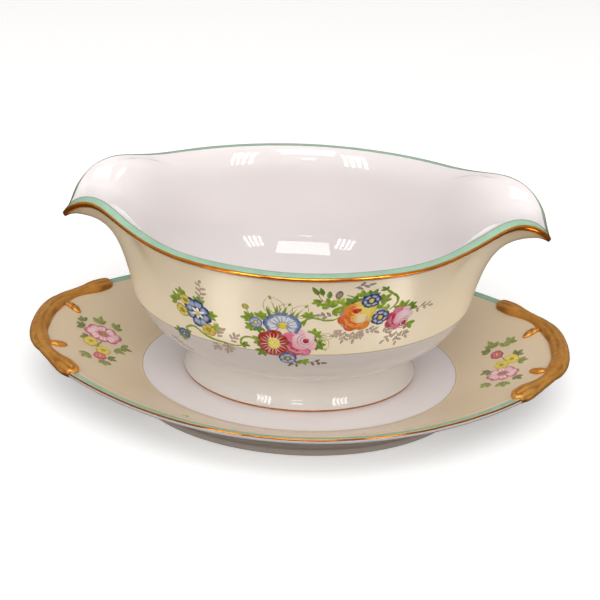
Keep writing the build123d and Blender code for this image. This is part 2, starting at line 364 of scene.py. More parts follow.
def plate_height(x, y):
    t = math.atan2(y * PLATE_L, x * PLATE_W)
    reach = float(np.linalg.norm(plate_edge(np.array(t))[:2]))
    well = math.hypot(WELL[0] * math.cos(t), WELL[1] * math.sin(t))
    s = (math.hypot(x, y) - well) / (reach - well)
    return float(slope(np.array(t), np.array(min(s, 1.0)))[2])


# ---- Moulded handles ------------------------------------------------------------------------------

# x, y, breadth, thickness along one arm, from the middle of the end to the knob
BRANCH = [(113.3, 0, 8.2, 5.6), (112.5, 9, 8.2, 5.6), (110.0, 16.6, 7.6, 5.4), (106.2, 23.0, 5.6, 4.6),
          (102.0, 27.8, 5.6, 4.8), (98.0, 31.8, 7.2, 5.4), (94.8, 34.7, 8.4, 5.8), (92.2, 37.0, 7.6, 5.0)]
BUD = [(110.0, 16.0, 3.0, 3.0), (106.6, 16.7, 2.6, 2.8), (103.6, 16.2, 3.6, 3.4), (101.2, 14.9, 3.4, 2.8),
       (99.8, 14.0, 2.2, 1.8)]


def tube(stations, steps, sides=28):
    """Closed rounded tube through the stations: returns vertices and faces."""
    st = np.array([(x, y, plate_height(x, y) + 0.3, b, h) for x, y, b, h in stations])
    arc = arc_length(st[:, :3])
    at = np.linspace(0, arc[-1], steps)
    path = np.stack([cubic(arc, st[:, k], at) for k in range(5)], -1)
    way = unit(np.gradient(path[:, :3], axis=0))
    side = unit(np.cross([0, 0, 1.0], way))
    top = np.cross(way, side)
    a = np.linspace(0, 2 * np.pi, sides, endpoint=False)[:, None]

    def section(i):
        return np.cos(a) * side[i] * path[i, 3] / 2 + np.sin(a) * top[i] * path[i, 4] / 2

    def rounded(i, sign):
        out = sign * way[i] * 0.8 * path[i, 3] / 2
        return [path[i, :3] + out * math.sin(turn) + section(i) * math.cos(turn)
                for turn in np.linspace(0.25, 1.45, 7)]

    rings = [path[i, :3] + section(i) for i in range(steps)]
    rings = rounded(0, -1)[::-1] + rings + rounded(steps - 1, 1)
    verts = np.array(rings).reshape(-1, 3)
    faces = []
    for i in range(len(rings) - 1):
        faces += [(i * sides + j, i * sides + (j + 1) % sides, (i + 1) * sides + (j + 1) % sides,
                   (i + 1) * sides + j) for j in range(sides)]
    faces.append(tuple(range(sides))[::-1])
    faces.append(tuple(range((len(rings) - 1) * sides, len(rings) * sides)))
    return verts, faces


def flipped(stations):
    return [(x, -y, b, h) for x, y, b, h in stations]


def handle(name, sign):
    """Branch with two buds, remeshed into one skin and tooled with shallow grooves."""
    verts, faces = [], []
    whole = flipped(BRANCH)[:0:-1] + BRANCH
    for stations, steps in ((whole, 120), (BUD, 30), (flipped(BUD), 30)):
        v, f = tube(stations, steps)
        faces += [tuple(i + len(verts) for i in face) for face in f]
        verts += list(v)
    obj = object_from(name + "_rough", np.array(verts), faces)
    remesh = obj.modifiers.new("skin", "REMESH")
    remesh.mode, remesh.voxel_size, remesh.use_smooth_shade = "VOXEL", 0.4 * MM, True
    smooth = obj.modifiers.new("ease", "SMOOTH")
    smooth.factor, smooth.iterations = 0.5, 8
    depsgraph = bpy.context.evaluated_depsgraph_get()
    mesh = bpy.data.meshes.new_from_object(obj.evaluated_get(depsgraph))
    bpy.data.objects.remove(obj)
    co = np.zeros(len(mesh.vertices) * 3)
    no = np.zeros(len(mesh.vertices) * 3)
    mesh.vertices.foreach_get("co", co)
    mesh.vertices.foreach_get("normal", no)
    co, no = co.reshape(-1, 3) / MM, no.reshape(-1, 3)
    line = np.array([(x, y) for x, y, _, _ in whole])
    arc = arc_length(line)
    fine = np.stack([cubic(arc, line[:, k], np.linspace(0, arc[-1], 160)) for k in (0, 1)], -1)
    run = np.linspace(-1, 1, 160)
    lift = np.zeros(len(co))
    for i, p in enumerate(co):
        d = np.hypot(fine[:, 0] - p[0], fine[:, 1] - p[1])
        k = int(d.argmin())
        off = d[k] * (1 if math.hypot(*p[:2]) > math.hypot(*fine[k]) else -1)
        broad = noise.noise(Vector(p) * 0.16)
        small = noise.noise(Vector(p) * 0.5 + Vector((9, 0, 0)))
        groove = math.cos(off * 2.1 + 2.2 * broad) * 0.10
        knob = max(0.0, (abs(run[k]) - 0.80) / 0.2)
        pleat = math.cos(off * 2.6 + 0.6) * 0.22 * knob
        lift[i] = 0.16 * broad + 0.07 * small + groove * (1 - knob) + pleat
    co = co + no * lift[:, None]
    co[:, 0] = co[:, 0] * sign - (LEFT_LONG if sign < 0 else 0)
    mesh.vertices.foreach_set("co", (co * MM).ravel())
    if sign < 0:
        mesh.flip_normals()
    mesh.polygons.foreach_set("use_smooth", [True] * len(mesh.polygons))
    mesh.attributes.new("crease", "FLOAT", "POINT").data.foreach_set("value", lift.astype(np.float32))
    mesh.update()
    mesh.materials.clear()
    done = bpy.data.objects.new(name, mesh)
    bpy.context.scene.collection.objects.link(done)
    return done


# ---- Materials ------------------------------------------------------------------------------------

def lin(r, g, b):
    """Linear colour from 0-255 display values."""
    f = [c / 255 for c in (r, g, b)]
    return tuple(c / 12.92 if c <= 0.04045 else ((c + 0.055) / 1.055)**2.4 for c in f)


WHITE, CREAM = lin(224, 217, 216), lin(252, 236, 209)
PLATE_CREAM = lin(220, 201, 172)
GREEN, GREEN_INK = lin(153, 188, 161), lin(84, 96, 84)
GILT, GILT_DARK = (0.92, 0.31, 0.024), (0.36, 0.085, 0.004)
# Painted shade: a darker white for the boat's foot, and a warm brown for the underside of the stand (painted
# shade and reflection).
FOOT_WHITE_PAINTED_SHADE, UNDERSIDE_PAINTED_SHADE = lin(209, 203, 197), lin(150, 131, 108)
BROWN_LINE, BISQUE = lin(168, 138, 100), lin(216, 205, 190)

# Where the painted bands lie, in millimetres from the edge of the lip, the stand or the foot.
LIP_GREEN_END = 3.3
STAND_GREEN_START, STAND_GREEN_END = 0.5, 3.7
STAND_GILT, FOOT_GILT_LOW, FOOT_GILT_HIGH = 0.45, 0.45, 1.35


class Shader:
    """Small helper that wires a Principled material."""

    def __init__(self, name):
        self.mat = bpy.data.materials.new(name)
        self.mat.use_nodes = True
        self.tree = self.mat.node_tree
        self.bsdf = next(n for n in self.tree.nodes if n.type == "BSDF_PRINCIPLED")
        self.coords = None

    def link(self, value, socket):
        if isinstance(value, bpy.types.NodeSocket):
            self.tree.links.new(value, socket)
        elif isinstance(value, tuple) and len(value) == 3 and len(getattr(socket, "default_value", ())) == 4:
            socket.default_value = (*value, 1)
        else:
            socket.default_value = value

    def node(self, kind, **settings):
        node = self.tree.nodes.new(kind)
        for key, value in settings.items():
            setattr(node, key, value)
        return node

    def attribute(self, name, out="Fac"):
        return self.node("ShaderNodeAttribute", attribute_name=name).outputs[out]

    def math(self, op, a, b=0.0, c=0.0):
        node = self.node("ShaderNodeMath", operation=op)
        for socket, value in zip(node.inputs, (a, b, c)):
            self.link(value, socket)
        return node.outputs[0]

    def times(self, a, b):
        return self.math("MULTIPLY", a, b)

    def inverse(self, x):
        return self.math("SUBTRACT", 1.0, x)

    def noise(self, scale, detail=2.0, rough=0.5, stretch=None):
        if self.coords is None:
            self.coords = self.node("ShaderNodeTexCoord").outputs["Object"]
        vector = self.coords
        if stretch:
            mapping = self.node("ShaderNodeMapping")
            mapping.inputs["Scale"].default_value = stretch
            self.link(vector, mapping.inputs["Vector"])
            vector = mapping.outputs[0]
        node = self.node("ShaderNodeTexNoise")
        self.link(vector, node.inputs["Vector"])
        node.inputs["Scale"].default_value = scale
        node.inputs["Detail"].default_value = detail
        node.inputs["Roughness"].default_value = rough
        return node.outputs["Fac"]

    def step(self, x, low, high):
        """0 below low, 1 above high."""
        node = self.node("ShaderNodeMapRange", interpolation_type="SMOOTHSTEP")
        for key, value in (("Value", x), ("From Min", low), ("From Max", high)):
            self.link(value, node.inputs[key])
        return node.outputs[0]

    def band(self, x, low, high, soft=0.06):
        """1 between low and high."""
        return self.times(self.step(x, low - soft, low + soft),
                          self.inverse(self.step(x, high - soft, high + soft)))

    def mix(self, fac, a, b):
        node = self.node("ShaderNodeMix", data_type="RGBA")
        self.link(fac, node.inputs[0])
        self.link(a, node.inputs[6])
        self.link(b, node.inputs[7])
        return node.outputs[2]

    def bump(self, height, strength, distance, base=None):
        node = self.node("ShaderNodeBump")
        node.inputs["Strength"].default_value = strength
        node.inputs["Distance"].default_value = distance
        self.link(height, node.inputs["Height"])
        if base is not None:
            self.link(base, node.inputs["Normal"])
        return node.outputs[0]

    def set(self, **values):
        for key, value in values.items():
            self.link(value, self.bsdf.inputs[key.replace("_", " ")])
        return self.mat


def toned(colour, shade):
    return tuple(c * k for c, k in zip(colour, shade))


def sprayed(sh, scale, colour):
    """Sprayed ground of the boat and the stand, a little uneven."""
    return sh.mix(sh.step(sh.noise(scale, 4, 0.6), 0.25, 0.8), colour, toned(colour, (0.97, 0.95, 0.9)))


def green_streaks(sh):
    """Green of the bands, with faint brush streaks."""
    streak = sh.step(sh.noise(180, 3, 0.6, (1, 1, 2)), 0.3, 0.75)
    return sh.mix(streak, GREEN, toned(GREEN, (0.86, 0.86, 0.86)))


def glaze_base(sh, colour):
    """Clear glaze over the body: faint mottling, a few iron specks, and a gently wavy skin."""
    cloud = sh.step(sh.noise(22, 3), 0.3, 0.75)
    tint = sh.mix(sh.times(cloud, 0.5), colour, toned(colour, (0.955, 0.94, 0.925)))
    speck = sh.step(sh.noise(1500, 1), 0.845, 0.87)
    return sh.mix(sh.times(speck, 0.55), tint, lin(120, 96, 74))


def glaze_finish(sh, colour, gilt, ground=0.0):
    """Shared gloss: glassy on the glaze, eggshell on the ground, softer and brushed on the gilding."""
    brushed = sh.noise(420, 3, 0.6, (1, 1, 3))
    rough_gilt = sh.math("MULTIPLY_ADD", brushed, 0.12, 0.06)
    rough_glaze = sh.math("MULTIPLY_ADD", sh.noise(60, 2), 0.03, 0.02)
    rough_glaze = sh.math("ADD", rough_glaze, sh.times(ground, 0.2))
    mixed = sh.math("ADD", sh.times(gilt, rough_gilt), sh.times(sh.inverse(gilt), rough_glaze))
    skin = sh.bump(sh.noise(40, 1), 0.2, 0.0004)
    skin = sh.bump(sh.noise(700, 2), 0.06, 0.00004, skin)
    return sh.set(Base_Color=colour, Metallic=gilt, Roughness=mixed, Normal=skin, IOR=1.52,
                  Coat_Weight=0.0, Subsurface_Weight=0.0)


def gilding(sh, colour, mask, shade=1.0):
    """Bronze gold: worn thin and browner in streaks. Returns the colour and how metallic it is."""
    wear = sh.step(sh.noise(260, 4, 0.65), 0.36, 0.72)
    bright = toned(GILT, (shade, shade, shade))
    gold = sh.mix(wear, GILT_DARK, bright)
    deep = sh.mix(0.68, gold, bright)
    return sh.mix(mask, colour, deep), sh.times(mask, 0.86)


def wobble(sh, amount):
    """Unsteady hand of the painter, in millimetres."""
    slow = sh.math("MULTIPLY_ADD", sh.noise(45, 1), 2 * amount, -amount)
    fast = sh.math("MULTIPLY_ADD", sh.noise(420, 1), 0.8 * amount, -0.4 * amount)
    return sh.math("ADD", slow, fast)


def boat_glaze():
    sh = Shader("boat_glaze_painted")
    lip = sh.math("ADD", sh.attribute("lip_mm"), wobble(sh, 0.22))
    belly = sh.math("ADD", sh.attribute("belly_mm"), wobble(sh, 0.16))
    tip = sh.attribute("tip")
    low = sh.math("MULTIPLY_ADD", tip, -1.1, -2.1)             # lower edge of the gilding
    high = sh.math("MULTIPLY_ADD", tip, 0.5, 0.3)             # its upper edge, doubled at the spouts
    colour = glaze_base(sh, WHITE)
    outside = sh.inverse(sh.step(lip, -0.4, -0.2))
    ground_top = sh.math("ADD", low, -0.5)
    ground = sh.times(sh.step(belly, -0.05, 0.12),
                      sh.inverse(sh.step(sh.math("SUBTRACT", lip, ground_top), -0.15, 0.15)))
    colour = sh.mix(ground, colour, sprayed(sh, 30, CREAM))
    line = sh.times(sh.band(belly, -0.18, 0.16, 0.07), outside)
    colour = sh.mix(sh.times(line, 0.85), colour, BROWN_LINE)
    green = sh.times(sh.step(sh.math("SUBTRACT", lip, high), -0.06, 0.06),
                     sh.inverse(sh.step(lip, LIP_GREEN_END, LIP_GREEN_END + 0.12)))
    colour = sh.mix(green, colour, green_streaks(sh))
    ink = sh.band(lip, LIP_GREEN_END, LIP_GREEN_END + 0.32, 0.08)
    colour = sh.mix(sh.times(ink, 0.85), colour, GREEN_INK)
    gap = sh.math("SUBTRACT", lip, high)
    colour = sh.mix(sh.times(sh.band(gap, -0.06, 0.2, 0.08), 0.8), colour, lin(96, 50, 24))
    mask = sh.times(sh.step(sh.math("SUBTRACT", lip, low), -0.06, 0.06),
                    sh.inverse(sh.step(gap, -0.08, 0.04)))
    colour, metal = gilding(sh, colour, mask)
    return glaze_finish(sh, colour, metal, ground)


def foot_glaze():
    sh = Shader("boat_foot_glaze")
    up = sh.math("ADD", sh.attribute("foot_mm"), wobble(sh, 0.1))
    outside = sh.inverse(sh.attribute("hidden"))
    mask = sh.times(sh.band(up, FOOT_GILT_LOW, FOOT_GILT_HIGH), outside)
    # Painted shade: the foot's white glaze is darker than the bowl's.
    colour, metal = gilding(sh, glaze_base(sh, FOOT_WHITE_PAINTED_SHADE), mask, 0.6)
    return glaze_finish(sh, colour, metal)


def plate_glaze():
    sh = Shader("plate_glaze_painted")
    rim_mm = sh.math("ADD", sh.attribute("rim_mm"), wobble(sh, 0.2))
    well = sh.math("ADD", sh.attribute("well_mm"), wobble(sh, 0.16))
    colour = glaze_base(sh, WHITE)
    ground = sh.times(sh.step(well, -0.05, 0.1), sh.step(rim_mm, STAND_GREEN_START, STAND_GREEN_START + 0.1))
    colour = sh.mix(ground, colour, sprayed(sh, 28, PLATE_CREAM))
    line = sh.times(sh.band(well, -0.2, 0.12, 0.07), sh.step(rim_mm, 5, 6))
    colour = sh.mix(sh.times(line, 0.85), colour, BROWN_LINE)
    colour = sh.mix(sh.band(rim_mm, STAND_GREEN_START, STAND_GREEN_END), colour, green_streaks(sh))
    ink = sh.band(rim_mm, STAND_GREEN_END, STAND_GREEN_END + 0.25, 0.08)
    colour = sh.mix(sh.times(ink, 0.7), colour, GREEN_INK)
    # Painted shade and reflection: the underside of the stand darkens towards a warm brown below its edge.
    under = sh.inverse(sh.step(rim_mm, -16, -4))
    colour = sh.mix(sh.times(under, 0.6), colour, UNDERSIDE_PAINTED_SHADE)
    colour, metal = gilding(sh, colour, sh.band(rim_mm, -STAND_GILT, STAND_GILT), 0.62)
    colour = sh.mix(sh.attribute("unglazed"), colour, BISQUE)
    return glaze_finish(sh, colour, metal, ground)


def handle_gold():
    sh = Shader("handle_matt_gold")
    cloud = sh.step(sh.noise(70, 4, 0.6), 0.3, 0.72)
    fine = sh.step(sh.noise(500, 4, 0.7), 0.35, 0.75)
    colour = sh.mix(cloud, (0.62, 0.265, 0.042), (0.72, 0.35, 0.075))
    colour = sh.mix(sh.times(fine, 0.4), colour, (0.42, 0.145, 0.018))
    # Painted shade: the gold is darkened in the grooves and hollows of the moulding.
    crease_shade = sh.inverse(sh.step(sh.attribute("crease"), -0.22, 0.02))
    colour = sh.mix(sh.times(crease_shade, 0.55), colour, (0.22, 0.075, 0.012))
    rough = sh.math("MULTIPLY_ADD", fine, 0.16, 0.36)
    skin = sh.bump(sh.noise(320, 4, 0.6), 0.35, 0.00018)
    skin = sh.bump(sh.noise(1300, 3), 0.2, 0.00006, skin)
    return sh.set(Base_Color=colour, Metallic=0.62, Roughness=rough, Normal=skin, IOR=1.45)


def enamel_material():
    sh = Shader("painted_enamel")
    paint = sh.attribute("paint", "Color")
    thin = sh.step(sh.noise(650, 3, 0.6), 0.3, 0.8)
    colour = sh.mix(sh.times(thin, 0.16), paint, lin(246, 232, 208))
    grain = sh.step(sh.noise(1600, 2), 0.35, 0.8)
    node = sh.node("ShaderNodeMix", data_type="RGBA", blend_type="MULTIPLY")
    sh.link(sh.times(grain, 0.14), node.inputs[0])
    sh.link(colour, node.inputs[6])
    sh.link((0.62, 0.6, 0.58), node.inputs[7])
    skin = sh.bump(sh.noise(900, 2), 0.25, 0.00008)
    return sh.set(Base_Color=node.outputs[2], Roughness=sh.math("MULTIPLY_ADD", thin, 0.16, 0.12),
                  Normal=skin, IOR=1.5)


# ---- Painted enamel -------------------------------------------------------------------------------

FRONT = np.linspace(-np.pi, 0, 721)
ALONG_BELLY = arc_length(np.stack([BELLY[0] * np.cos(FRONT), BELLY[1] * np.sin(FRONT)], -1))
ALONG_BELLY -= np.interp(-np.pi / 2, FRONT, ALONG_BELLY)
LEVELS, COLUMNS = np.linspace(-1, 1, 241), FRONT[::6]
UP_WALL = np.array([arc_length(column) for column in wall(*np.meshgrid(COLUMNS, LEVELS, indexing="ij"))])
UP_WALL -= UP_WALL[:, 120:121]


def on_boat(s, h):
    """Point and outward normal of the boat's front, s mm along from its middle, h mm up from the belly."""
    t = np.interp(s, ALONG_BELLY, FRONT)
    i = np.clip((t + np.pi) / np.pi * (len(COLUMNS) - 1), 0, len(COLUMNS) - 1.001)
    k, f = i.astype(int), i - i.astype(int)
    v = np.array([np.interp(y, UP_WALL[a], LEVELS) * (1 - b) + np.interp(y, UP_WALL[a + 1], LEVELS) * b
                  for a, b, y in zip(k, f, h)])
    n = normals(wall, t, v)
    p = wall(t, v)
    n *= np.sign((n[:, :2] * p[:, :2]).sum(-1))[:, None]
    return p, n


def on_plate(x, y):
    """Point and upward normal of the underplate's slope at plan position x, y."""
    z = lambda a, b: np.array([plate_height(c, d) for c, d in zip(a, b)])
    here = z(x, y)
    dx, dy = (z(x + 0.2, y) - here) / 0.2, (z(x, y + 0.2) - here) / 0.2
    return np.stack([x, y, here], -1), unit(np.stack([-dx, -dy, np.ones(len(x))], -1))


def blend(a, b, f):
    f = np.asarray(f)[..., None]
    return np.asarray(a, float) * (1 - f) + np.asarray(b, float) * f


def around(degrees, rx=1.0, ry=1.0):
    """Point of an ellipse at this angle."""
    return np.array([rx * math.cos(math.radians(degrees)), ry * math.sin(math.radians(degrees))])


def heading(x, y):
    return math.degrees(math.atan2(y, x))


SINK = 0.05        # how far a stroke's edge lies under the glaze


class Enamel:
    """Collects brush strokes of enamel, each a low dome whose edge sinks just under the glaze."""

    def __init__(self, place, seed):
        self.place, self.rng = place, np.random.default_rng(seed)
        self.flat, self.height, self.paint, self.faces = [], [], [], []

    def _grid(self, points, height, colour):
        rows, cols = height.shape
        first = sum(len(a) for a in self.flat)
        self.flat.append(points.reshape(-1, 2))
        self.height.append(height.ravel())
        jitter = 1 + self.rng.uniform(-0.07, 0.07)
        self.paint.append(np.clip(colour.reshape(-1, 3) * jitter, 0, 1))
        for i in range(rows - 1):
            for j in range(cols - 1):
                a = first + i * cols + j
                self.faces.append((a, a + 1, a + cols + 1, a + cols))

    def petal(self, at, turn, length, width, base, tip, edge=None, layer=0, fat=1.0, point=0.6,
              streak=None, streaks=5, shade=None, size=(13, 13), curl=0.0, ink=0.3):
        """One stroke from `at`, heading `turn` degrees. A higher `fat` moves its widest part to the tip,
        a higher `point` sharpens it."""
        nu, nw = size
        u, w = np.meshgrid(np.linspace(0, 1, nu), np.linspace(-1, 1, nw), indexing="ij")
        half = width / 2 * np.sin(np.pi * np.clip(u, 0.004, 0.996)**fat)**point
        x, y = u * length, w * half + curl * np.sin(np.pi * u) * length
        c, s = around(turn)
        pts = np.stack([at[0] + x * c - y * s, at[1] + x * s + y * c], -1)
        inset = np.minimum(1 - np.abs(w), np.minimum(u * 1.2, (1 - u) * 1.5))
        height = -SINK + np.clip(inset / 0.16, 0, 1) * (0.09 + 0.06 * layer) + 0.1 * np.clip(inset, 0, 1)
        colour = blend(base, tip, u**1.2)
        if streak is not None:
            lines = np.clip(np.cos(w * np.pi * streaks) * 2.6 - 1.5, 0, 1) * np.clip(1.9 - 2.4 * u, 0, 1)
            colour = blend(colour, streak, lines)
        if shade is not None:
            colour = shade(pts, colour)
        if edge is not None:
            colour = blend(colour, edge, np.clip((ink + 0.12 - inset) / 0.2, 0, 1))
        self._grid(pts, height, colour)

    def line(self, points, width, colour, layer=0, end=None, steps=8):
        """Smooth line through the points, tapering to `end` times its width."""
        pts = np.array(points, float)
        arc = arc_length(pts)
        at = np.linspace(0, arc[-1], max(4, steps * (len(pts) - 1)))
        line = np.stack([cubic(arc, pts[:, k], at) if len(pts) > 2 else np.interp(at, arc, pts[:, k])
                         for k in (0, 1)], -1)
        way = unit(np.gradient(line, axis=0))
        side = np.stack([-way[:, 1], way[:, 0]], -1)
        taper = np.interp(np.linspace(0, 1, len(at)), [0, 0.04, 0.6, 1], [0.5, 1, 1, end if end else 0.5])
        taper = taper * (1 + 0.14 * np.sin(at * 2.3 + self.rng.uniform(0, 6)))
        w = np.linspace(-1, 1, 5)
        grid = line[:, None] + side[:, None] * (w[None, :, None] * width / 2 * taper[:, None, None])
        w = np.tile(w, (len(at), 1))
        height = -SINK + (0.11 + 0.05 * layer) * np.sqrt(np.clip(1 - w**2, 0, 1))
        self._grid(grid, height, blend(colour, np.array(colour) * 0.72, np.abs(w)))

    def leaf(self, at, turn, length, width, colour, layer=0, vein=True):
        """Leaf with a light half, a dark half and a dark midrib."""
        colour, way = np.array(colour), around(turn)
        dark, light = colour * 0.5, np.minimum(colour * (1.5, 1.3, 1.5), 1)

        def halves(pts, base):
            across = (pts[..., 1] - at[1]) * way[0] - (pts[..., 0] - at[0]) * way[1]
            base = blend(base, light, np.clip(across / width * 2.2, 0, 0.75))
            return blend(base, dark, np.clip(-across / width * 1.6 - 0.1, 0, 0.6))

        self.petal(at, turn, length, width, colour * 0.85, colour, None, layer, 0.8, 0.8, shade=halves,
                   size=(11, 9))
        if vein:
            self.line([np.array(at) + way * length * f for f in (-0.12, 0.8)], 0.2, dark, layer + 1, 0.4)

    def clump(self, at, turn, size, colour, lobes=3, layer=0):
        """Ivy-like leaf: lobes fanned about one point, the middle one longest."""
        for k in range(lobes):
            off = (k - (lobes - 1) / 2) * 46
            keep = 1 - 0.0038 * abs(off)
            self.leaf(at, turn + off + self.rng.uniform(-7, 7), size * keep * self.rng.uniform(0.9, 1.1),
                      size * 0.52, colour, layer + 0.2 * (k % 2), vein=(k % 2 == 0))

    def outline_leaf(self, at, tip, belly, ink, green):
        """Unfilled leaf: a thin drawn outline with a few strokes of green along its middle."""
        at, tip = np.array(at, float), np.array(tip, float)
        way = tip - at
        side = np.array([-way[1], way[0]]) * belly
        for sign in (-1, 1):
            pts = [at, at + way * 0.35 + side * sign, at + way * 0.75 + side * sign * 0.7, tip]
            self.line(pts, 0.24, ink, 0, 0.5)
        for k in (-0.5, 0.0, 0.5):
            end = at + way * (0.55 + 0.2 * (k == 0)) + side * k * 1.1
            self.line([at + way * 0.04, (at + end) / 2 + side * k * 0.4, end], 0.42, green, 1, 0.2)
        self.leaf(tip - way * 0.2, heading(*way), np.linalg.norm(way) * 0.24, 0.9, green, 1, vein=False)

    def sprig(self, start, turn, length, colour, leaves=5, bend=0.15):
        """Dry twig with paired leaflets, each drawn darker round its edge."""
        way, side, colour = around(turn), around(turn + 90), np.array(colour)

        def spot(f):
            return np.array(start) + way * length * f + side * bend * length * math.sin(math.pi * f)

        self.line([spot(f) for f in (0, 0.35, 0.7, 1)], 0.34, colour * 0.7, 0, 0.4)
        for i in range(leaves):
            sign = (1 if i % 2 else -1) * (0.2 if i == leaves - 1 else 1)
            self.petal(spot((i + 0.6) / leaves), turn + sign * (50 + self.rng.uniform(-12, 12)),
                       2.5 * self.rng.uniform(0.85, 1.2), 1.35, np.minimum(colour * 1.25, 1), colour,
                       colour * 0.55, 1, 0.85, 0.8, size=(9, 7), ink=0.2)

    def disc(self, at, rx, ry, middle, edge, layer=2, shade=None, ink=0.3):
        self.petal((at[0] - rx, at[1]), 0, 2 * rx, 2 * ry, middle, middle, edge, layer, point=0.5,
                   shade=shade, size=(15, 11), ink=ink)

    def flower(self, at, rx, ry, colours, count=5, eye_r=0.3, start=0.0, layer=1, streak=None, dots=None,
               streaks=4, ink=0.3, fat=1.5, breadth=1.0):
        """Open flower seen from the front, with outlined petals and a domed eye that may be ringed with
        dots. Its colours are those of the petals' roots, tips and edges, and of the eye."""
        at, (base, tip, edge, eye) = np.array(at), colours
        self.disc(at, rx * 0.5, ry * 0.5, edge, edge, layer - 0.5)
        for k in range(count):
            way = around(start + 360 * k / count + self.rng.uniform(-4, 4), rx, ry)
            width = math.pi * (rx + ry) / count * 0.86 * breadth
            self.petal(at + way * 0.1, heading(*way), np.linalg.norm(way) * 0.9, width, base, tip, edge,
                       layer + 0.3 * (k % 2), fat, 0.5, streak, streaks, ink=ink)
        self.disc(at, rx * eye_r, ry * eye_r, eye, np.array(eye) * (0.8, 0.68, 0.4), layer + 2)
        for k in range(9 if dots else 0):
            spot = at + around(40 * k, rx, ry) * eye_r * 1.2
            self.disc(spot, rx * 0.07, ry * 0.07, dots, dots, layer + 2.5)

    def rose(self, at, rx, ry, pale, mid, deep, heart, core, dark_side, layer=1):
        """Full rose: lobed outer petals, a round ball, wrapped inner petals and a dark heart.
        The petals towards `dark_side` (degrees) are deep, the others pale."""
        at, pale, mid, deep = np.array(at), np.array(pale), np.array(mid), np.array(deep)

        def at_angle(angle, r):
            return at + around(angle, rx, ry) * r

        for k in range(7):
            angle = dark_side + 180 + 360 * k / 7
            f = 0.5 + 0.5 * math.cos(math.radians(angle - dark_side))
            fill = blend(pale, blend(mid, deep, np.clip(2 * f - 1, 0, 1)), np.clip(f * 1.6, 0, 1))
            self.disc(at_angle(angle, 0.62), rx * 0.42, ry * 0.4, fill, fill * (0.86, 0.7, 0.74),
                      layer + 0.4 * f, ink=0.16)

        def ball(pts, base):
            side = (pts - at) / [rx, ry] @ around(dark_side)
            return blend(base, mid, np.clip(0.25 + 1.1 * side, 0, 1))

        self.disc(at_angle(dark_side + 180, 0.14), rx * 0.64, ry * 0.66, pale, mid * (0.9, 0.7, 0.75),
                  layer + 1, ball, 0.1)
        core = np.array(core)
        for r, colour, width in ((0.46, mid, 0.11), (0.3, deep, 0.1)):
            arc = [core + around(dark_side + a, rx * r, ry * r) for a in np.linspace(-125, 125, 7)]
            self.line(arc, rx * width, colour, layer + 3, 0.3)
        self.disc(core, rx * 0.19, ry * 0.19, heart, np.array(heart) * 0.8, layer + 5)
        for k in (-1, 0, 1):
            spot = at_angle(dark_side + 34 * k, 0.72)
            self.petal(spot, dark_side + 34 * k + 105, rx * 0.62, ry * 0.24, deep, mid, None, layer + 3,
                       1.0, 0.7, pale, 2, size=(9, 9), curl=0.12)

    def finish(self, name, body, turned=False):
        flat, height = np.concatenate(self.flat), np.concatenate(self.height)
        p, n = self.place(flat[:, 0], flat[:, 1])
        verts = p + n * height[:, None]
        if turned:
            verts = verts * [-1, -1, 1]
        obj = object_from(name, verts, self.faces, {"paint": np.concatenate(self.paint)})
        obj.data.materials.append(ENAMEL)
        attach(obj, body)
        return obj


LEAF, LEAF_DARK, LEAF_LIGHT = lin(134, 166, 26), lin(100, 138, 20), lin(168, 192, 66)
MAUVE, INK = lin(184, 158, 140), lin(160, 120, 76)
BLUE, BLUE_DARK, BLUE_PALE = lin(134, 156, 196), lin(18, 56, 118), lin(206, 214, 230)
YELLOW, OLIVE, PAPER = lin(236, 214, 66), lin(170, 160, 50), lin(248, 243, 236)
RED, RED_DARK, SCARLET, CRIMSON = lin(178, 22, 10), lin(128, 10, 6), lin(206, 26, 8), lin(190, 18, 50)
PINK, PINK_MID, PINK_DEEP = lin(248, 216, 222), lin(234, 128, 156), lin(190, 34, 82)
ORANGE, ORANGE_DEEP, PEACH = lin(244, 146, 30), lin(222, 84, 12), lin(246, 222, 180)
GOLDEN, OCHRE = lin(222, 196, 74), lin(176, 124, 44)
STAND_LEAF, STAND_LEAF_DARK = lin(134, 146, 62), lin(112, 124, 60)
STAND_PINK, STAND_PINK_EDGE, STAND_YELLOW = lin(230, 190, 190), lin(190, 78, 112), lin(222, 202, 66)

BLUE_FLOWER = (BLUE_PALE, BLUE, BLUE_DARK, YELLOW)
WHITE_FLOWER = (PAPER, BLUE, BLUE_DARK, YELLOW)
STAND_PINKS = (PINK, STAND_PINK, STAND_PINK_EDGE, lin(140, 150, 66))
STAND_YELLOWS = (STAND_YELLOW, GOLDEN, OCHRE, OLIVE)

ENAMEL = enamel_material()


